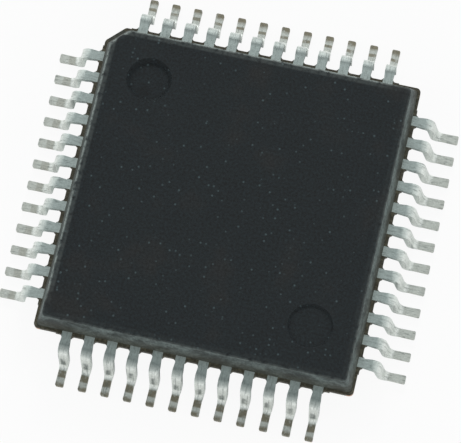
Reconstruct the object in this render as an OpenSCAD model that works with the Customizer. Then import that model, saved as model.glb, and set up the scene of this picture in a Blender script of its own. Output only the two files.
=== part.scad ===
// Quad flat package chip, 48 gull-wing leads on a 0.5 mm pitch.
// Millimetres. The origin is the middle of the package on the seating plane, under the solder feet.
// +Z points up out of the board, and the chamfered pin 1 corner is at -X, +Y.
// Pins count anticlockwise seen from above, from the top of the -X side.

/* [Moulded body] */
// Distance from the side of the body to the middle line of the nearest lead of the next side
row_margin = 0.75; // [0.7:0.01:0.85]
// Height of the body from its underside to its top face
body_h = 1.25; // [1.15:0.05:1.45]
// Gap under the body when the feet are soldered flat
standoff = 0.07; // [0.05:0.01:0.15]
// Height of the lower mould half, up to the lead frame
lower_h = 0.65; // [0.58:0.01:0.68]
// Ledge left on each side where the upper mould half is narrower
ledge_w = 0.05; // [0.04:0.01:0.1]
// Draft of the side walls, in degrees
draft_angle = 16; // [8:1:18]
// Leg of the chamfer at the pin 1 corner
index_chamfer = 0.38; // [0.3:0.02:0.46]
// Growth of that leg for each millimetre that the walls lean in
index_rake = 0.55; // [0:0.05:0.8]
// Radius of the upright corners
corner_r = 0.1; // [0.05:0.01:0.15]
// Radius round the edge of the top face and of the underside
edge_r = 0.06; // [0.03:0.01:0.08]

/* [Marks in the mould] */
// Diameter of the pin 1 dimple
dimple_d = 1; // [0.8:0.05:1.1]
// Depth of the pin 1 dimple
dimple_depth = 0.1; // [0.05:0.01:0.12]
// Distance of the pin 1 dimple's middle from the sides of the body
dimple_inset = 1.21; // [1.1:0.01:1.4]
// Diameter of an ejector mark
ejector_d = 0.98; // [0.8:0.02:1.1]
// Depth of an ejector mark
ejector_depth = 0.05; // [0.02:0.01:0.06]
// Distance of an ejector mark's middle from the sides of the body
ejector_inset = 1.18; // [1.05:0.01:1.3]
// Slope of the sides of the dimple and the marks, in degrees from upright
mark_slope = 40; // [5:1:50]

/* [Leads outside the body] */
// Distance from the side of the body to the toes of the leads
lead_reach = 1; // [0.92:0.01:1.1]
// Distance from one lead to the next
lead_pitch = 0.5; // [0.45:0.01:0.55]
// Thickness of the lead frame
lead_t = 0.13; // [0.09:0.01:0.16]
// Width at the cut of the dam bar, against the body
collar_w = 0.22; // [0.2:0.01:0.28]
// Length of the stub that the dam bar leaves, outside the body
collar_l = 0.07; // [0.05:0.01:0.09]
// Width of the neck just outside the collar
neck_w = 0.19; // [0.17:0.01:0.22]
// Width across the shoulder bend
bend_w = 0.225; // [0.2:0.005:0.25]
// Width at the heel, where the leg tapers most
heel_w = 0.16; // [0.14:0.005:0.2]
// Width of the foot at its toe
foot_w = 0.175; // [0.15:0.005:0.22]
// Leg of the small chamfers at the corners of the toe
toe_chamfer = 0.02; // [0.01:0.005:0.04]
// Length of the flat part of the foot, from toe to heel
foot_l = 0.35; // [0.3:0.01:0.38]
// Fall of the leg below level, in degrees
leg_angle = 80; // [76:1:86]
// Inside radius of the shoulder bend
shoulder_r = 0.08; // [0.06:0.01:0.1]
// Inside radius of the heel bend
heel_r = 0.12; // [0.08:0.01:0.15]

/* [Resin web between the leads] */
// How far the web stands out between two leads
web_proud = 0.02; // [0.01:0.005:0.03]
// Radius in the corners where the web meets a lead
web_r = 0.06; // [0.04:0.01:0.09]

/* [Lead frame inside the body] */
// Length of a finger from the side of the body to its tip
finger_l = 1.6; // [1.4:0.05:1.7]
// Room left at the corner of the row of tips, for the tie bar
tip_margin = 0.415; // [0.39:0.005:0.45]
// Width of a finger at its tip
tip_w = 0.14; // [0.1:0.01:0.15]
// Width of the ears that lock a finger in the resin
ear_w = 0.3; // [0.26:0.01:0.34]
// Length of the ears
ear_l = 0.1; // [0.06:0.01:0.12]
// Depth of the ears inside the body wall
ear_inset = 0.12; // [0.1:0.01:0.14]
// Depth inside the body wall at which the fingers start to fan in
fan_inset = 0.3; // [0.28:0.01:0.34]
// Drop of the paddle below the fingers
downset = 0.2; // [0.16:0.01:0.24]
// Gap between the paddle and the tips of the fingers
tip_gap = 0.3; // [0.25:0.01:0.35]
// Width of the four tie bars
tie_w = 0.2; // [0.16:0.01:0.22]
// Level length of a tie bar between the body corner and its bend
tie_level = 1.6; // [1.3:0.1:1.8]
// Depth etched off the top of a tie bar's outer end, so that resin covers it
tie_etch = 0.06; // [0.04:0.01:0.08]
// Length of that etched end
tie_etch_l = 0.5; // [0.3:0.05:0.8]
// Run of the tie bar's sloping part
tie_run = 0.3; // [0.2:0.05:0.4]

/* [Die and bond wires] */
// Width of the square die
die_w = 2.4; // [2:0.1:2.6]
// Thickness of the die
die_t = 0.28; // [0.2:0.02:0.3]
// Thickness of the adhesive under the die
attach_t = 0.02; // [0.01:0.005:0.04]
// How far the adhesive spreads past the die
attach_spread = 0.05; // [0.02:0.01:0.1]
// Room between the corner of the die and the last bond pad of a row
pad_margin = 0.265; // [0.2:0.005:0.35]
// Distance of the bond pads from the edge of the die
pad_inset = 0.09; // [0.06:0.01:0.12]
// Diameter of a bond wire
wire_d = 0.025; // [0.02:0.005:0.03]
// Diameter of the ball bond
ball_d = 0.07; // [0.05:0.01:0.08]
// Height of the ball bond
ball_h = 0.018; // [0.012:0.002:0.024]
// Height of the upright neck of the wire above the die
wire_rise = 0.09; // [0.06:0.01:0.12]
// Radius of the bend at the top of the loop
loop_r = 0.06; // [0.04:0.01:0.08]
// Distance from a finger's tip to the stitch bond
stitch_place = 0.2; // [0.15:0.01:0.25]

/* [Hidden] */
side_count = 4;
leads_per_side = 12;
lead_names = [for (n = [1 : side_count * leads_per_side]) str("lead_", n < 10 ? "0" : "", n)];

// Curves: the rounded mould corners are hulls of thin layers, and everything else is a true curve.
$fn = 48;
corner_fn = 32;
edge_step = 30;
layer = 0.001;
// Reach of a cutting shape past the surface it cuts
over = 0.05;
// How far an arc is set past a face, so that the two cross cleanly instead of only touching
blend = 0.0002;

// Body
body_w = (leads_per_side - 1) * lead_pitch + 2 * row_margin;
wall_x = body_w / 2;
dimple_x = wall_x - dimple_inset;
ejector_x = wall_x - ejector_inset;

// Heights
frame_z0 = standoff + lower_h;
frame_z1 = frame_z0 + lead_t;
top_z = standoff + body_h;
upper_h = top_z - frame_z1;
paddle_z0 = frame_z0 - downset;
paddle_z1 = paddle_z0 + lead_t;
die_z0 = paddle_z1 + attach_t;
die_z1 = die_z0 + die_t;

// Side view of a lead, from the toe back to the shoulder; the radii are those of its middle line
toe_x = wall_x + lead_reach;
shoulder_mid_r = shoulder_r + lead_t / 2;
heel_mid_r = heel_r + lead_t / 2;
bends_drop = (shoulder_mid_r + heel_mid_r) * (1 - cos(leg_angle));
leg_l = (frame_z0 - bends_drop) / sin(leg_angle);
heel_x = toe_x - foot_l;
shoulder_x = heel_x - (shoulder_mid_r + heel_mid_r) * sin(leg_angle) - leg_l * cos(leg_angle);
shoulder_c = [shoulder_x, frame_z0 - shoulder_r];
heel_c = [heel_x, lead_t + heel_r];

// Plan of a lead
collar_x = wall_x + collar_l;
ear_x = wall_x - ear_inset;
fan_x = wall_x - fan_inset;
tip_x = wall_x - finger_l;
tip_pitch = 2 * (tip_x - tip_margin) / (leads_per_side - 1);
row_half = leads_per_side * lead_pitch / 2;

// Paddle and bond wires
paddle_w = 2 * (tip_x - tip_gap);
pad_pitch = (die_w - 2 * pad_margin) / (leads_per_side - 1);
pad_x = die_w / 2 - pad_inset;
stitch_x = tip_x + stitch_place;

// Position of a lead, or of its pad, along its side
function along(i, pitch) = (i - (leads_per_side - 1) / 2) * pitch;

// Sideways place of a finger's middle line at a distance x from the centre
function fan_y(i, x) = x >= fan_x
    ? along(i, lead_pitch)
    : along(i, tip_pitch) + (along(i, lead_pitch) - along(i, tip_pitch)) * (x - tip_x) / (fan_x - tip_x);

// Side 0 faces -X and holds pin 1, and the sides follow anticlockwise
module on_side(s) {
    rotate(180 + 90 * s) children();
}

// Outline of the body with its chamfered pin 1 corner, moved in by inset
module body_outline(w, inset = 0) {
    a = w / 2;
    c = index_chamfer + index_rake * inset;
    offset(r = corner_r, $fn = corner_fn)
        offset(delta = -corner_r - inset)
            polygon([[-a, -a], [a, -a], [a, a], [c - a, a], [-a, a - c]]);
}

// One mould half, drafted inward from z = 0 up to h, with a round edge at its top.
// An upright band below z = 0 joins it to the other half.
module mould_half(w, h, band) {
    wall_inset = (h - edge_r) * tan(draft_angle);
    hull() {
        translate([0, 0, -band]) linear_extrude(band) body_outline(w);
        for (a = [0 : edge_step : 90])
            translate([0, 0, h - edge_r + edge_r * sin(a) - layer])
                linear_extrude(layer) body_outline(w, wall_inset + edge_r * (1 - cos(a)));
    }
}

// A round recess in a face at z = 0, with sloping sides
module round_mark(d, depth) {
    slope = tan(mark_slope);
    translate([0, 0, -depth])
        cylinder(h = depth + over, d1 = d - 2 * depth * slope, d2 = d + 2 * over * slope);
}

// The strip of resin that filled the dam bar's gap, cut back between the leads
module web_strip() {
    gap = lead_pitch - collar_w;
    floor_x = wall_x + web_proud;
    difference() {
        translate([wall_x - over, -row_half]) square([collar_l + over, 2 * row_half]);
        for (i = [0 : leads_per_side])
            translate([floor_x, (i - leads_per_side / 2) * lead_pitch]) {
                translate([web_r, -gap / 2]) square([collar_l, gap]);
                translate([0, web_r - gap / 2]) square([collar_l, gap - 2 * web_r]);
                for (side = [-1, 1]) translate([web_r, side * (gap / 2 - web_r)]) circle(web_r);
            }
    }
}

// Plan of one lead, from the tip of its finger to its toe, pointing along +X
module lead_plan(i) {
    bend_x0 = shoulder_x;
    bend_x1 = shoulder_x + shoulder_mid_r;
    edge = [
        [tip_x, tip_w], [fan_x, neck_w], [ear_x - ear_l, neck_w],
        [ear_x - ear_l, ear_w], [ear_x, ear_w], [ear_x, neck_w],
        [wall_x - over, neck_w], [wall_x - over, collar_w], [collar_x, collar_w], [collar_x, neck_w],
        [bend_x0, bend_w], [bend_x1, bend_w], [heel_x, heel_w],
        [toe_x - toe_chamfer, foot_w], [toe_x, foot_w - 2 * toe_chamfer]
    ];
    polygon(concat(
        [for (p = edge) [p[0], fan_y(i, p[0]) - p[1] / 2]],
        [for (k = [len(edge) - 1 : -1 : 0]) [edge[k][0], fan_y(i, edge[k][0]) + edge[k][1] / 2]]
    ));
}

// The wedge between two directions from the origin, out past a corner of radius r
module corner_wedge(r, from, to) {
    far = 2 * r / cos((to - from) / 2);
    polygon([[0, 0], far * [cos(from), sin(from)], far * [cos((from + to) / 2), sin((from + to) / 2)],
        far * [cos(to), sin(to)]]);
}

// What lies between the sharp corner of a bend and its arc, which the shoulder loses and the heel gains
module bend_corner(r, from, to) {
    difference() {
        corner_wedge(r, from, to);
        circle(r + blend);
    }
}

// Everything below one face of the lead in side view, as X against Z.
// The two bends turn about the same centres on both faces, at radii that differ by the thickness.
module below_face(shoulder, heel, reach) {
    half_turn = tan(leg_angle / 2);
    top = shoulder_c + shoulder * [half_turn, 1];
    foot = heel_c - heel * [half_turn, 1];
    difference() {
        union() {
            polygon([
                [tip_x - reach, -reach], [toe_x + reach, -reach], [toe_x + reach, foot[1]],
                foot, top, [tip_x - reach, top[1]]
            ]);
            translate(heel_c) bend_corner(heel, 270 - leg_angle, 270);
        }
        translate(shoulder_c) bend_corner(shoulder, 90 - leg_angle, 90);
    }
}

// Side view of one lead, as X against Z
module lead_profile() {
    difference() {
        below_face(shoulder_r + lead_t, heel_r, over);
        below_face(shoulder_r, heel_r + lead_t, 2 * over);
    }
}

module lead(i) {
    color([0.72, 0.75, 0.74])
        intersection() {
            linear_extrude(frame_z1 + over) lead_plan(i);
            translate([0, row_half, 0]) rotate([90, 0, 0])
                linear_extrude(2 * row_half) lead_profile();
        }
}

// The level space that all the fingers and shoulders fill at the height of the lead frame
module finger_space() {
    translate([0, 0, frame_z0])
        linear_extrude(lead_t)
            for (s = [0 : side_count - 1]) on_side(s)
                for (i = [0 : leads_per_side - 1]) lead_plan(i);
}

// Four tie bars, from the paddle up to the lead frame and out through the body corners
module tie_bars() {
    corner = norm([wall_x, wall_x]);
    bend_out = corner - tie_level;
    bend_in = bend_out - tie_run;
    etch_z = frame_z1 - tie_etch;
    for (s = [0 : side_count - 1])
        rotate(45 + 90 * s) rotate([90, 0, 0]) translate([0, 0, -tie_w / 2])
            linear_extrude(tie_w) polygon([
                [paddle_w / 2, paddle_z0], [bend_in, paddle_z0], [bend_out, frame_z0],
                [corner, frame_z0], [corner, etch_z], [corner - tie_etch_l, etch_z],
                [corner - tie_etch_l, frame_z1], [bend_out, frame_z1],
                [bend_in, paddle_z1], [paddle_w / 2, paddle_z1]
            ]);
}

module paddle_plate() {
    translate([-paddle_w / 2, -paddle_w / 2, paddle_z0]) cube([paddle_w, paddle_w, lead_t]);
}

module die_paddle() {
    color([0.72, 0.5, 0.33]) {
        paddle_plate();
        intersection() {
            tie_bars();
            linear_extrude(top_z) body_outline(body_w);
        }
    }
}

module die_attach() {
    w = die_w + 2 * attach_spread;
    color([0.62, 0.62, 0.6]) translate([-w / 2, -w / 2, paddle_z1]) cube([w, w, attach_t]);
}

module silicon_die() {
    color([0.35, 0.38, 0.45]) translate([-die_w / 2, -die_w / 2, die_z0]) cube([die_w, die_w, die_t]);
}

// One wire from its ball at the origin to a stitch at distance reach along +X and height drop.
// The bend is thicker than the wire by swell, so that the straight parts end inside it.
module bond_wire(reach, drop) {
    swell = 0.001;
    tuck = 0.004;
    far = [reach - loop_r, wire_rise - drop];
    fall = atan2(far[1], far[0]) + asin(loop_r / norm(far));
    cylinder(h = ball_h, d = ball_d);
    cylinder(h = wire_rise + tuck, d = wire_d);
    translate([loop_r, 0, wire_rise]) rotate([90, 0, 0])
        rotate_extrude(angle = 90 + fall, start = 90 - fall)
            translate([loop_r, 0]) circle(d = wire_d + swell);
    difference() {
        translate([loop_r + loop_r * sin(fall), 0, wire_rise + loop_r * cos(fall)])
            rotate([0, 90 + fall, 0]) translate([0, 0, -tuck]) cylinder(h = norm(far) + over, d = wire_d);
        translate([reach / 2, -wire_d, drop - 1]) cube([reach, 2 * wire_d, 1]);
    }
}

module bond_wires() {
    color([0.93, 0.76, 0.35])
        for (s = [0 : side_count - 1]) on_side(s)
            for (i = [0 : leads_per_side - 1]) {
                pad = [pad_x, along(i, pad_pitch)];
                run = [stitch_x, fan_y(i, stitch_x)] - pad;
                translate([pad[0], pad[1], die_z1]) rotate(atan2(run[1], run[0]))
                    bond_wire(norm(run), frame_z1 - die_z1);
            }
}

module moulded_body() {
    color([0.15, 0.17, 0.18])
        difference() {
            union() {
                translate([0, 0, frame_z1]) mould_half(body_w - 2 * ledge_w, upper_h, lead_t / 2);
                translate([0, 0, frame_z0]) mirror([0, 0, 1]) mould_half(body_w, lower_h, lead_t);
                translate([0, 0, frame_z0]) linear_extrude(lead_t)
                    for (s = [0 : side_count - 1]) on_side(s) web_strip();
            }
            translate([-dimple_x, dimple_x, top_z]) round_mark(dimple_d, dimple_depth);
            translate([ejector_x, -ejector_x, top_z]) round_mark(ejector_d, ejector_depth);
            for (side = [-1, 1])
                translate([side * ejector_x, side * ejector_x, standoff])
                    mirror([0, 0, 1]) round_mark(ejector_d, ejector_depth);
            finger_space();
            tie_bars();
            paddle_plate();
            die_attach();
            silicon_die();
            bond_wires();
        }
}

moulded_body();
die_paddle();
die_attach();
silicon_die();
bond_wires();
for (s = [0 : side_count - 1], i = [0 : leads_per_side - 1])
    on_side(s) lead(i);
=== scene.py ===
"""Finishes, floor, light and camera for a quad flat package chip."""

import logging
import math
from dataclasses import dataclass, field
from enum import Enum
from typing import Any

import bpy
from mathutils import Matrix, Vector


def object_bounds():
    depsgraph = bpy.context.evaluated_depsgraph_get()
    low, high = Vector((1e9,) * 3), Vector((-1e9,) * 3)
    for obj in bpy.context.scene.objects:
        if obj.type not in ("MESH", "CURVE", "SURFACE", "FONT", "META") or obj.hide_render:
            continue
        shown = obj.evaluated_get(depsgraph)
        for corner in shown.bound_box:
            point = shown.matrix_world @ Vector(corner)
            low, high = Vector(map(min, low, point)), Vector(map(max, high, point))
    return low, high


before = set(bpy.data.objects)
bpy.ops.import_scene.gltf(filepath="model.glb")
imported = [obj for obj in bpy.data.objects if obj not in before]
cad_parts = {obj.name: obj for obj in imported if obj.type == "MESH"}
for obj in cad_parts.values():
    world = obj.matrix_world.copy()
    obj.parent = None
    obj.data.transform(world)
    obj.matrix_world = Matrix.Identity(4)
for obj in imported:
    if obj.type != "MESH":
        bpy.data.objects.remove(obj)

CAD_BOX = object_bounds()
LOG = logging.getLogger("quad_flat_package")
MM = 0.001

Colour = tuple[float, float, float]
Span = tuple[float, float]
Triple = tuple[float, float, float]
WHITE: Colour = (1.0, 1.0, 1.0)


class Wire:
    """The output of a shader node, on which Python's operators add Math nodes."""

    def __init__(self, sheet: "ShaderSheet", socket: bpy.types.NodeSocket) -> None:
        """Keeps the socket and the sheet that new nodes go to.

        Args:
            sheet: The node tree's wrapper.
            socket: The output that this wire stands for.
        """
        self.sheet = sheet
        self.socket = socket

    def math(self, operation: str, *others: "Wire | float") -> "Wire":
        """Adds a Math node with this wire as its first value.

        Args:
            operation: Name of the Math node's operation.
            others: The other values, in order.

        Returns:
            The node's output.
        """
        values = dict(enumerate((self, *others)))
        return self.sheet.node("ShaderNodeMath", {"operation": operation}, values)

    def __add__(self, other: "Wire | float") -> "Wire":
        """This value plus another."""
        return self.math("ADD", other)

    __radd__ = __add__

    def __sub__(self, other: "Wire | float") -> "Wire":
        """This value less another."""
        return self.math("SUBTRACT", other)

    def __rsub__(self, other: "Wire | float") -> "Wire":
        """Another value less this one."""
        return self.math("MULTIPLY", -1.0).math("ADD", other)

    def __mul__(self, other: "Wire | float") -> "Wire":
        """This value times another."""
        return self.math("MULTIPLY", other)

    __rmul__ = __mul__

    def __truediv__(self, other: "Wire | float") -> "Wire":
        """This value over another."""
        return self.math("DIVIDE", other)

    def __abs__(self) -> "Wire":
        """The value without its sign."""
        return self.math("ABSOLUTE")

    def above(self, level: "Wire | float") -> "Wire":
        """1 where the value is over a level, and 0 elsewhere."""
        return self.math("GREATER_THAN", level)

    def rise(self, start: float, end: float) -> "Wire":
        """Turns smoothly from 0 at one value to 1 at another.

        Args:
            start: Value that gives 0.
            end: Value that gives 1, which may be the lower one.

        Returns:
            The smooth step.
        """
        low, high, flip = (start, end, False) if start < end else (end, start, True)
        step = self.sheet.node("ShaderNodeMapRange", {"interpolation_type": "SMOOTHSTEP"},
                               {"Value": self, "From Min": low, "From Max": high})
        return 1 - step if flip else step

    def band(self, start: float, end: float, soft: float) -> "Wire":
        """1 between two values and 0 outside them.

        Args:
            start: Lower value.
            end: Upper value.
            soft: Distance over which each side fades.

        Returns:
            The mask.
        """
        return self.rise(start - soft, start + soft) * self.rise(end + soft, end - soft)


class ShaderSheet:
    """One material's node tree, and the one way in which its nodes are added."""

    def __init__(self, owner: bpy.types.Material | bpy.types.World) -> None:
        """Empties the node tree of a material or of the world.

        Args:
            owner: What the tree belongs to.
        """
        self.owner = owner
        owner.use_nodes = True
        self.tree = owner.node_tree
        self.tree.nodes.clear()
        self._place: Wire | None = None

    @classmethod
    def finish(cls, name: str) -> "ShaderSheet":
        """The sheet of a new material with this name."""
        return cls(bpy.data.materials.new(name))

    @staticmethod
    def _socket(sockets: Any, key: str | int) -> bpy.types.NodeSocket:
        """Finds a socket.

        Args:
            sockets: The inputs or outputs of a node.
            key: Its number, identifier or name.

        Returns:
            The socket.
        """
        if isinstance(key, int):
            return sockets[key]
        return next((s for s in sockets if s.identifier == key), None) or sockets[key]

    def node(self, kind: str, settings: dict[str, Any] | None = None,
             inputs: dict[str | int, Any] | None = None, output: str | int = 0) -> Wire:
        """Adds a node, sets it and joins it up.

        Args:
            kind: Blender's name of the node type.
            settings: The node's own properties, set before its sockets. The stops of a ramp are
                pairs of a position and a colour.
            inputs: A value or a wire for each named or numbered socket.
            output: The output that is wanted.

        Returns:
            The wanted output.
        """
        made = self.tree.nodes.new(kind)
        for key, value in (settings or {}).items():
            if key == "stops":
                points = made.color_ramp.elements
                while len(points) < len(value):
                    points.new(0.5)
                for point, (position, colour) in zip(points, value):
                    point.position, point.color = position, (*colour, 1.0)
            else:
                setattr(made, key, value)
        for key, value in (inputs or {}).items():
            socket = self._socket(made.inputs, key)
            if isinstance(value, Wire):
                self.tree.links.new(value.socket, socket)
            elif isinstance(value, tuple) and socket.type == "RGBA":
                socket.default_value = (*value, 1.0)
            else:
                socket.default_value = value
        return Wire(self, self._socket(made.outputs, output))

    @property
    def place(self) -> Wire:
        """The point on the part.

        Returns:
            The point, in millimetres.
        """
        if self._place is None:
            metres = self.node("ShaderNodeTexCoord", output="Object")
            self._place = self.scaled(metres, (1 / MM,) * 3)
        return self._place

    def scaled(self, vector: Wire, by: Triple) -> Wire:
        """A vector with each axis multiplied by its own number."""
        return self.node("ShaderNodeVectorMath", {"operation": "MULTIPLY"}, {0: vector, 1: by})

    def axes(self, vector: Wire) -> tuple[Wire, Wire, Wire]:
        """The three parts of a vector."""
        return tuple(self.node("ShaderNodeSeparateXYZ", None, {0: vector}, axis) for axis in "XYZ")

    def joined(self, x: Wire | float, y: Wire | float, z: Wire | float) -> Wire:
        """A vector from its three parts."""
        return self.node("ShaderNodeCombineXYZ", None, {"X": x, "Y": y, "Z": z})

    def noise(self, vector: Wire, grain: float, detail: float = 3.0, rough: float = 0.5) -> Wire:
        """Cloudy noise around 0.5.

        Args:
            vector: Where the noise is read.
            grain: Size of its largest patches, in the vector's units.
            detail: Number of finer layers.
            rough: Weight of the finer layers.

        Returns:
            The noise.
        """
        return self.node("ShaderNodeTexNoise", {"noise_dimensions": "3D"},
                         {"Vector": vector, "Scale": 1 / grain, "Detail": detail, "Roughness": rough}, "Fac")

    def mixed(self, share: Wire | float, first: Wire | Colour, second: Wire | Colour) -> Wire:
        """A colour between two, where a share of 0 gives the first one."""
        return self.node("ShaderNodeMix", {"data_type": "RGBA"},
                         {"Factor_Float": share, "A_Color": first, "B_Color": second}, "Result_Color")

    def shaded(self, colour: Wire | Colour, by: Wire | float) -> Wire:
        """A colour made lighter or darker by a number."""
        return self.node("ShaderNodeVectorMath", {"operation": "SCALE"}, {0: colour, "Scale": by})

    def bump(self, height: Wire, reach: float) -> Wire:
        """A normal bent by a height.

        Args:
            height: The relief, from about 0 to 1.
            reach: Height in millimetres that a relief of 1 stands for.

        Returns:
            The normal.
        """
        relief = {"Strength": 1.0, "Distance": reach * MM, "Height": height}
        return self.node("ShaderNodeBump", None, relief, "Normal")

    def principled(self, inputs: dict[str, Any]) -> bpy.types.Material:
        """Ends the sheet in a Principled shader and returns its material."""
        surface = self.node("ShaderNodeBsdfPrincipled", None, inputs, "BSDF")
        return self.ended(surface)

    def ended(self, surface: Wire) -> bpy.types.Material:
        """Ends the sheet in a surface shader.

        Args:
            surface: The shader.

        Returns:
            The material or the world that the sheet belongs to.
        """
        kind = "World" if isinstance(self.owner, bpy.types.World) else "Material"
        output = self.tree.nodes.new(f"ShaderNodeOutput{kind}")
        self.tree.links.new(surface.socket, output.inputs["Surface"])
        return self.owner


def linear(red: int, green: int, blue: int) -> Colour:
    """Turns a display colour into the linear one that shaders use.

    Args:
        red: Level from 0 to 255.
        green: Level from 0 to 255.
        blue: Level from 0 to 255.

    Returns:
        The linear colour.
    """
    def one(level: int) -> float:
        """One channel."""
        v = level / 255
        return v / 12.92 if v <= 0.04045 else ((v + 0.055) / 1.055) ** 2.4
    return one(red), one(green), one(blue)


def below(edge: float, span: Span) -> Span:
    """The two values that lie these distances below an edge."""
    return edge - span[0], edge - span[1]


@dataclass(frozen=True)
class Outline:
    """The sizes of the package that the finishes follow, in millimetres."""

    face: float = 1.32
    parting: float = 0.85
    flat: float = 3.27
    wall: float = 3.45
    pitch: float = 0.5
    dimple: Span = (-2.29, 2.29)


SIZES = Outline()


@dataclass(frozen=True)
class MouldCompound:
    """Silica-filled epoxy from a spark-eroded mould, with its lengths in millimetres."""

    face: Colour = linear(22, 30, 33)
    warm: Colour = linear(34, 32, 30)
    wall: Colour = linear(56, 63, 62)
    # The next two colours are the wall smudges, lightened as painted light, and the painted highlight of the
    # top edge.
    smear_and_sheen: Colour = linear(112, 124, 122)
    painted_light: Colour = linear(150, 160, 156)
    ledge: Colour = linear(62, 58, 44)
    flash: Colour = linear(96, 92, 74)
    speck: Colour = linear(92, 112, 116)
    grain_size: float = 0.055
    cloud_size: float = 0.9
    smear_size: float = 0.4
    smear_squash: Triple = (1.0, 1.0, 1.5)
    glint_patch_size: float = 0.12
    residue_size: float = 0.07
    speck_spacing: float = 0.12
    dark_spot_shift: Span = (-0.06, -0.24)
    dark_spot_fades: Span = (0.22, 0.05)
    wall_in: Span = (0.15, 0.1)
    wall_down: Span = (0.012, 0.045)
    lit_side_edges: Span = (2.5, 3.1)
    skirt_down: float = 0.1
    skirt_over: float = 0.06
    skirt_foot: Span = (0.62, 0.72)
    edge_in: Span = (0.1, 0.05)
    edge_down: Span = (0.05, 0.004)
    edge_fade: float = 0.008
    resin_in: Span = (0.04, 0.01)
    resin_foot: float = 0.7
    resin_over: float = 0.006
    resin_fade: float = 0.012
    fine_relief: float = 0.045
    coarse_relief: float = 0.2
    relief: float = 0.004
    roughness: float = 0.66
    gloss: float = 0.35

    def material(self) -> bpy.types.Material:
        """Mottled charcoal with smeared walls, lightened on the right and front as painted light, a painted
        highlight along the top edge, a darker spot in the index dimple and brown resin at the parting line.

        Returns:
            The material.
        """
        sheet = ShaderSheet.finish("mould_compound")
        x, y, z = sheet.axes(sheet.place)
        out = abs(x).math("MAXIMUM", abs(y))
        grain = sheet.noise(sheet.place, self.grain_size, 3, 0.7)
        clouds = sheet.noise(sheet.place, self.cloud_size, 3)
        top = sheet.mixed(clouds.rise(0.5, 0.75) * 0.5, self.face, self.warm)
        top = sheet.shaded(top, grain.rise(0.25, 0.78) * 1.5 + (clouds - 0.5) * 0.5 + 0.28)
        top = sheet.mixed(self._specks(sheet) * 0.45, top, self.speck)
        # A soft darker spot on the floor of the index dimple, a little in front of its middle.
        dark_spot_x, dark_spot_y = (middle + shift for middle, shift in zip(SIZES.dimple, self.dark_spot_shift))
        hollow = sheet.joined(x - dark_spot_x, y - dark_spot_y, 0.0)
        away = sheet.node("ShaderNodeVectorMath", {"operation": "LENGTH"}, {0: hollow}, "Value")
        top = sheet.shaded(top, 1 - away.rise(*self.dark_spot_fades) * 0.35)

        beside = out.rise(*below(SIZES.flat, self.wall_in))
        on_wall = z.rise(*below(SIZES.face, self.wall_down)) * beside
        # Painted light: the wall smudges are lightened far more on the right and front walls than on the
        # left and back.
        start, end = self.lit_side_edges
        lit_sides = (x.rise(start, end) + y.rise(-start, -end)).math("MINIMUM", 1.0)
        squashed = sheet.scaled(sheet.place, self.smear_squash)
        smears = sheet.noise(squashed, self.smear_size, 4, 0.65).rise(0.34, 0.66)
        side = sheet.mixed(smears * (lit_sides * 0.6 + 0.25), self.wall, self.smear_and_sheen)
        skirt = z.rise(SIZES.face - self.skirt_down, SIZES.parting + self.skirt_over)
        skirt = skirt * z.rise(*self.skirt_foot)
        side = sheet.mixed(skirt * 0.55, side, self.ledge)
        side = sheet.shaded(side, grain.rise(0.2, 0.8) * 0.9 + 0.55)
        colour = sheet.mixed(on_wall, top, side)

        # Painted highlight: a pale band along the top edge, broken into patches and weaker on the right and
        # front.
        beside = out.rise(*below(SIZES.flat, self.edge_in))
        edge = z.band(*below(SIZES.face, self.edge_down), self.edge_fade) * beside
        glint_patches = sheet.noise(sheet.place, self.glint_patch_size, 3, 0.6).rise(0.25, 0.6) * (1 - lit_sides * 0.8)
        colour = sheet.mixed(edge * glint_patches * 0.85, colour, self.painted_light)

        low = z.band(self.resin_foot, SIZES.parting + self.resin_over, self.resin_fade)
        low = low * out.rise(*below(SIZES.wall, self.resin_in))
        residue = sheet.noise(sheet.place, self.residue_size, 3, 0.7).rise(0.42, 0.68)
        brown = sheet.shaded(sheet.mixed(residue, self.ledge, self.flash), grain * 0.8 + 0.6)
        colour = sheet.mixed(low, colour, brown)

        relief = sheet.noise(sheet.place, self.fine_relief, 3, 0.6)
        relief = relief + sheet.noise(sheet.place, self.coarse_relief, 2) * 0.6
        return sheet.principled({
            "Base Color": colour,
            "Roughness": (grain - 0.5) * 0.25 - on_wall * 0.12 + self.roughness,
            "Normal": sheet.bump(relief, self.relief),
            "Specular IOR Level": self.gloss,
        })

    def _specks(self, sheet: ShaderSheet) -> Wire:
        """Rare grains of filler that the release wax has bared.

        Args:
            sheet: Where the nodes go.

        Returns:
            The mask of the grains.
        """
        cells = {"Vector": sheet.place, "Scale": 1 / self.speck_spacing}
        dot = sheet.node("ShaderNodeTexVoronoi", {"feature": "F1"}, cells, "Distance").rise(0.28, 0.08)
        pick = sheet.node("ShaderNodeTexVoronoi", {"feature": "F1"}, cells, "Color")
        return dot * sheet.axes(pick)[0].rise(0.72, 0.9)


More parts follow.
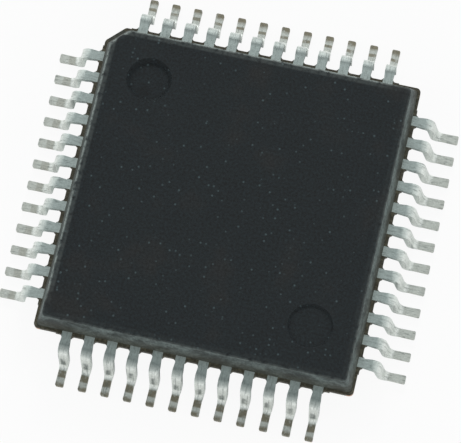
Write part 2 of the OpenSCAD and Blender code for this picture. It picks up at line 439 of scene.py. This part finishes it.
@dataclass(frozen=True)
class TinPlate:
    """Matt tin over copper alloy, with light and shade painted along each lead, small nicks at the heel, a
    darker brownish band past the heel and brown towards the toes.

    Each zone along a lead is a pair of distances from the middle of the package, in millimetres.
    """

    # One tin plate in four tones of painted light and shade: darker at the neck, lighter at the bend,
    # brightest on the leg as a painted reflection of the floor, and lit on the foot.
    shaded_neck: Colour = linear(184, 195, 192)
    lit_bend: Colour = linear(218, 226, 222)
    lit_leg: Colour = linear(240, 244, 240)
    lit_foot: Colour = linear(214, 218, 212)
    brown: Colour = linear(150, 145, 128)
    # The next colour marks real nicks and streaks, and also paints shade on the bend.
    scuff_and_shade: Colour = linear(120, 128, 126)
    bend_starts: Span = (3.72, 3.84)
    leg_starts: Span = (3.84, 3.95)
    foot_starts: Span = (4.1, 4.16)
    # The next span holds the painted shade on the bend.
    shaded_bend: Span = (3.7, 3.9)
    nick_mark: Span = (3.99, 4.04)
    # The next two spans hold a darker brownish band just past the heel.
    heel_band: Span = (4.15, 4.31)
    back_heel_band: Span = (4.23, 4.3)
    toe_stain: Span = (4.38, 4.46)
    back_toe_stain: Span = (4.33, 4.4)
    apart: Triple = (7.0, 31.0, 13.0)
    slip_size: float = 0.3
    slip_reach: float = 0.08
    streak_size: float = 0.2
    blotch_size: float = 0.1
    grain_size: float = 0.04
    relief: float = 0.004
    roughness: float = 0.62

    def material(self) -> bpy.types.Material:
        """Painted light and shade in zones, from the darker cool grey neck over the lighter bend and leg to
        the foot, which browns towards the toe.

        Returns:
            The material.
        """
        sheet = ShaderSheet.finish("tinned_lead")
        x, y, _ = sheet.axes(sheet.place)
        along_y = abs(y).above(abs(x))
        out = abs(x).math("MAXIMUM", abs(y))
        across = x * along_y + y * (1 - along_y)
        row = (across / SIZES.pitch).math("FLOOR")
        offset = across - (row + 0.5) * SIZES.pitch
        by_row, by_axis, by_side = self.apart
        run = sheet.joined(out, offset, row * by_row + along_y * by_axis + (x + y).above(0.0) * by_side)
        slip = out + (sheet.noise(run, self.slip_size, 1) - 0.5) * self.slip_reach
        streak = sheet.noise(sheet.scaled(run, (1, 5, 1)), self.streak_size, 3, 0.65)
        blotch = sheet.noise(run, self.blotch_size, 3, 0.65)
        grain = sheet.noise(sheet.place, self.grain_size, 3, 0.65)

        # Painted light and shade: the tone changes zone by zone along the lead.
        colour = sheet.mixed(slip.rise(*self.bend_starts), self.shaded_neck, self.lit_bend)
        colour = sheet.mixed(slip.rise(*self.leg_starts), colour, self.lit_leg)
        colour = sheet.mixed(slip.rise(*self.foot_starts), colour, self.lit_foot)
        front = along_y * y.rise(0.5, -0.5)
        back = along_y * y.rise(-0.5, 0.5)
        left = (1 - along_y) * x.rise(0.5, -0.5)
        # A darker brownish band across the foot just past the heel, strongest on the front and back rows and
        # faint on the left.
        darker_band = slip.band(*self.heel_band, 0.02) * (front + left * 0.35)
        darker_band = darker_band + slip.band(*self.back_heel_band, 0.015) * back * 0.9
        toe = slip.rise(*self.toe_stain) * (along_y * 0.9 + 0.1)
        toe = toe + slip.rise(*self.back_toe_stain) * back * 0.5
        colour = sheet.mixed((darker_band + toe) * blotch.rise(0.2, 0.55), colour, self.brown)
        nick = slip.band(*self.nick_mark, 0.012) * offset.band(-0.06, 0.05, 0.03) * blotch.rise(0.3, 0.6)
        colour = sheet.mixed(nick * (front * 0.7 + 0.1), colour, self.scuff_and_shade)
        # Painted shade: the bend of the front and back rows is darkened.
        painted_light = slip.band(*self.shaded_bend, 0.05) * (front * 0.35 + back * 0.45)
        colour = sheet.mixed(painted_light, colour, self.scuff_and_shade)
        colour = sheet.mixed(streak.rise(0.5, 0.72) * 0.55, colour, self.scuff_and_shade)
        colour = sheet.shaded(colour, (grain - 0.5) * 0.5 + (blotch - 0.5) * 0.3 + 1)

        relief = streak * 0.7 + grain * 0.5
        return sheet.principled({
            "Base Color": colour,
            "Metallic": 1.0,
            "Roughness": (streak - 0.5) * 0.3 + self.roughness,
            "Normal": sheet.bump(relief, self.relief),
        })


@dataclass(frozen=True)
class RolledMetal:
    """Bare metal that was rolled or drawn, with fine lines along X."""

    name: str
    colour: Colour
    dull: Colour
    roughness: float
    line_squash: Triple = (0.4, 6.0, 6.0)
    line_size: float = 0.3
    spot_size: float = 0.25
    relief: float = 0.002

    def material(self) -> bpy.types.Material:
        """Streaked bare metal.

        Returns:
            The material.
        """
        sheet = ShaderSheet.finish(self.name)
        lines = sheet.noise(sheet.scaled(sheet.place, self.line_squash), self.line_size, 3)
        spots = sheet.noise(sheet.place, self.spot_size, 3)
        return sheet.principled({
            "Base Color": sheet.mixed(spots.rise(0.5, 0.75), self.colour, self.dull),
            "Metallic": 1.0,
            "Roughness": (lines - 0.5) * 0.3 + self.roughness,
            "Normal": sheet.bump(lines, self.relief),
        })


@dataclass(frozen=True)
class SilverEpoxy:
    """Adhesive filled with silver flake."""

    paste: Colour = linear(170, 168, 162)
    flake: Colour = linear(226, 224, 216)
    flake_size: float = 0.02
    relief: float = 0.003

    def material(self) -> bpy.types.Material:
        """Grey paste with bright flakes.

        Returns:
            The material.
        """
        sheet = ShaderSheet.finish("silver_epoxy")
        cells = {"Vector": sheet.place, "Scale": 1 / self.flake_size}
        flakes = sheet.node("ShaderNodeTexVoronoi", {"feature": "F1"}, cells, "Distance").rise(0.35, 0.15)
        return sheet.principled({
            "Base Color": sheet.mixed(flakes, self.paste, self.flake),
            "Roughness": 0.6 - flakes * 0.25,
            "Normal": sheet.bump(flakes, self.relief),
        })


@dataclass(frozen=True)
class Silicon:
    """Polished silicon, patterned above and sawn at its sides."""

    polished: Colour = linear(86, 92, 108)
    metal: Colour = linear(150, 140, 128)
    sawn: Colour = linear(92, 94, 98)
    block: float = 0.3
    line_pitch: float = 0.03
    face_starts: Span = (0.93, 0.935)
    relief: float = 0.001

    def material(self) -> bpy.types.Material:
        """Blocks of fine circuit lines on the face and dull saw marks on the sides.

        Returns:
            The material.
        """
        sheet = ShaderSheet.finish("silicon")
        x, y, z = sheet.axes(sheet.place)
        cells = {"Vector": sheet.joined(x, y, 0.0), "Scale": 1 / self.block, "Randomness": 0.8}
        squares = {"feature": "F1", "distance": "CHEBYCHEV"}
        blocks = sheet.node("ShaderNodeTexVoronoi", squares, cells, "Color")
        shade = sheet.axes(blocks)[0]
        upright = shade.above(0.5)
        lines = (x / self.line_pitch).math("FRACT").band(0.2, 0.6, 0.1) * upright
        lines = lines + (y / self.line_pitch).math("FRACT").band(0.2, 0.6, 0.1) * (1 - upright)
        top = z.rise(*self.face_starts)
        pattern = sheet.mixed(lines * shade * 0.7, self.polished, self.metal)
        return sheet.principled({
            "Base Color": sheet.mixed(top, self.sawn, pattern),
            "Roughness": 0.5 - top * 0.3,
            "Normal": sheet.bump(lines * top, self.relief),
        })


@dataclass(frozen=True)
class PaleFloor:
    """Matt white sheet that stays white where the camera looks past the package."""

    paper: Colour = linear(243, 244, 243)
    lift: float = 0.92
    mirrored_share: float = 0.5
    tooth_size: float = 0.4
    tooth_depth: float = 0.01

    def material(self) -> bpy.types.Material:
        """Paper with a faint tooth, lifted to white for the camera and for reflections.

        Returns:
            The material.
        """
        sheet = ShaderSheet.finish("floor_paper")
        metres = sheet.node("ShaderNodeTexCoord", output="Object")
        tooth = sheet.bump(sheet.noise(metres, self.tooth_size * MM, 2), self.tooth_depth)
        matt = sheet.node("ShaderNodeBsdfDiffuse", None, {"Color": self.paper, "Normal": tooth}, "BSDF")
        white = sheet.node("ShaderNodeEmission", None, {"Color": WHITE, "Strength": 1.0}, "Emission")
        seen = sheet.node("ShaderNodeLightPath", output="Is Camera Ray") * self.lift
        glossy = sheet.node("ShaderNodeLightPath", output="Is Glossy Ray")
        mirrored = glossy * (self.lift * self.mirrored_share)
        return sheet.ended(sheet.node("ShaderNodeMixShader", None,
                                      {0: seen.math("MAXIMUM", mirrored), 1: matt, 2: white}, "Shader"))


class Side(Enum):
    """The four sides of the package, with the pins that each one holds."""

    LEFT = range(1, 13)
    FRONT = range(13, 25)
    RIGHT = range(25, 37)
    BACK = range(37, 49)

    @property
    def nodes(self) -> list[str]:
        """The names of this side's leads."""
        return [f"lead_{pin:02d}" for pin in self.value]


def dress(node: str, finish: bpy.types.Material) -> bpy.types.Object:
    """Puts one finish on a solid.

    Args:
        node: Name of the solid.
        finish: Its material.

    Returns:
        The solid's object.
    """
    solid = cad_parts[node]
    solid.data.materials.clear()
    solid.data.materials.append(finish)
    for polygon in solid.data.polygons:
        polygon.material_index = 0
    return solid


@dataclass
class MouldedBody:
    """The resin body."""

    finish: MouldCompound = field(default_factory=MouldCompound)

    def build(self) -> list[bpy.types.Object]:
        """Dresses the body.

        Returns:
            Its object.
        """
        return [dress("moulded_body", self.finish.material())]


@dataclass
class LeadRows:
    """The four rows of gull-wing leads."""

    finish: TinPlate = field(default_factory=TinPlate)
    burr: float = 0.012
    burr_segments: int = 2
    sharp_angle: float = 40.0
    weld_reach: float = 0.0005

    def build(self) -> list[bpy.types.Object]:
        """Dresses every lead and softens the edges left by the cutting tool.

        Returns:
            The leads.
        """
        material = self.finish.material()
        leads = [dress(node, material) for side in Side for node in side.nodes]
        for lead in leads:
            self._soften(lead)
        return leads

    def _soften(self, lead: bpy.types.Object) -> None:
        """Rounds a lead's sharp edges.

        Args:
            lead: The lead.
        """
        weld = lead.modifiers.new("weld", "WELD")
        weld.merge_threshold = self.weld_reach * MM
        bevel = lead.modifiers.new("burr", "BEVEL")
        bevel.width = self.burr * MM
        bevel.segments = self.burr_segments
        bevel.limit_method = "ANGLE"
        bevel.angle_limit = math.radians(self.sharp_angle)


@dataclass
class DieStack:
    """What the resin holds: the paddle, the die and the wires."""

    copper: RolledMetal = RolledMetal("copper_frame", linear(214, 160, 122), linear(170, 116, 84), 0.42)
    gold: RolledMetal = RolledMetal("gold_wire", linear(244, 206, 122), linear(226, 180, 92), 0.22)
    epoxy: SilverEpoxy = field(default_factory=SilverEpoxy)
    silicon: Silicon = field(default_factory=Silicon)

    def build(self) -> list[bpy.types.Object]:
        """Dresses the inner pieces.

        Returns:
            Their objects.
        """
        finishes = {"die_paddle": self.copper, "die_attach": self.epoxy, "silicon_die": self.silicon,
                    "bond_wires": self.gold}
        return [dress(node, finish.material()) for node, finish in finishes.items()]


@dataclass
class Studio:
    """Pale floor, soft light and backdrop."""

    floor_half: float = 400.0
    key_turn: float = 100.0
    key_height: float = 32.0
    key_strength: float = 0.85
    key_spread: float = 18.0
    floor_drop: float = 0.004
    lamp_away: float = 100.0
    zenith: float = 0.42
    zenith_tint: Triple = (0.93, 1.0, 1.01)
    horizon: float = 0.95
    walls_fade: Span = (0.35, 0.95)

    def build(self) -> list[bpy.types.Object]:
        """Lays the floor, hangs the lamps and lights the room.

        Returns:
            The floor.
        """
        half = self.floor_half * MM
        mesh = bpy.data.meshes.new("floor")
        corners = [(-half, -half, 0), (half, -half, 0), (half, half, 0), (-half, half, 0)]
        mesh.from_pydata(corners, [], [(0, 1, 2, 3)])
        floor = bpy.data.objects.new("floor", mesh)
        floor.location.z = CAD_BOX[0].z - self.floor_drop * MM
        bpy.context.scene.collection.objects.link(floor)
        floor.data.materials.append(PaleFloor().material())
        self._sun("key_light", self.key_turn, self.key_height, self.key_strength, self.key_spread)
        self._room()
        return [floor]

    def _sun(self, name: str, turn: float, height: float, strength: float, spread: float) -> None:
        """Adds a soft distant lamp.

        Args:
            name: Its name.
            turn: Direction that it stands in, in degrees anticlockwise from +X.
            height: Its height above the horizon, in degrees.
            strength: Its strength.
            spread: The angle that it spans, in degrees.
        """
        lamp = bpy.data.lights.new(name, "SUN")
        lamp.energy, lamp.angle = strength, math.radians(spread)
        holder = bpy.data.objects.new(name, lamp)
        towards = Vector((math.cos(math.radians(turn)) * math.cos(math.radians(height)),
                          math.sin(math.radians(turn)) * math.cos(math.radians(height)),
                          math.sin(math.radians(height))))
        holder.rotation_euler = towards.to_track_quat("Z", "Y").to_euler()
        holder.location = towards * self.lamp_away * MM
        bpy.context.scene.collection.objects.link(holder)

    def _room(self) -> None:
        """Lights the scene from a pale room whose walls are brighter than its ceiling."""
        world = bpy.data.worlds.new("room")
        bpy.context.scene.world = world
        sheet = ShaderSheet(world)
        direction = sheet.node("ShaderNodeTexCoord", output="Generated")
        up = sheet.axes(direction)[2]
        ceiling = tuple(self.zenith * part for part in self.zenith_tint)
        light = sheet.mixed(up.rise(*self.walls_fade), (self.horizon,) * 3, ceiling)
        seen = sheet.node("ShaderNodeLightPath", output="Is Camera Ray")
        colour = sheet.mixed(seen, light, WHITE)
        glow = {"Color": colour, "Strength": 1.0}
        sheet.ended(sheet.node("ShaderNodeBackground", None, glow, "Background"))


@dataclass
class Viewpoint:
    """The camera, high in front of the package and a little to its right."""

    azimuth: float = 19.71
    elevation: float = 74.24
    roll: float = -7.02
    distance: float = 65.04
    aim: Triple = (0.0994, -0.2893, 0.75)
    lens: float = 235.2
    sensor: float = 36.0
    clip: Span = (0.001, 10.0)

    def build(self) -> bpy.types.Object:
        """Sets up the camera.

        Returns:
            The camera.
        """
        data = bpy.data.cameras.new("camera")
        data.lens, data.sensor_width = self.lens, self.sensor
        data.clip_start, data.clip_end = self.clip
        camera = bpy.data.objects.new("camera", data)
        turn = (Matrix.Rotation(math.radians(self.azimuth), 4, "Z")
                @ Matrix.Rotation(math.radians(90 - self.elevation), 4, "X")
                @ Matrix.Rotation(math.radians(self.roll), 4, "Z"))
        back = turn.to_3x3() @ Vector((0, 0, self.distance))
        camera.matrix_world = Matrix.Translation((Vector(self.aim) + back) * MM) @ turn
        bpy.context.scene.collection.objects.link(camera)
        bpy.context.scene.camera = camera
        return camera


def main() -> None:
    """Builds each part of the scene in order."""
    logging.basicConfig(level=logging.INFO, format="%(message)s")
    bpy.context.scene.view_settings.view_transform = "Standard"
    for part in (Viewpoint(), MouldedBody(), LeadRows(), DieStack(), Studio()):
        made = part.build()
        LOG.info("%s: %s", type(part).__name__, len(made) if isinstance(made, list) else made.name)


if __name__ == "__main__":
    main()
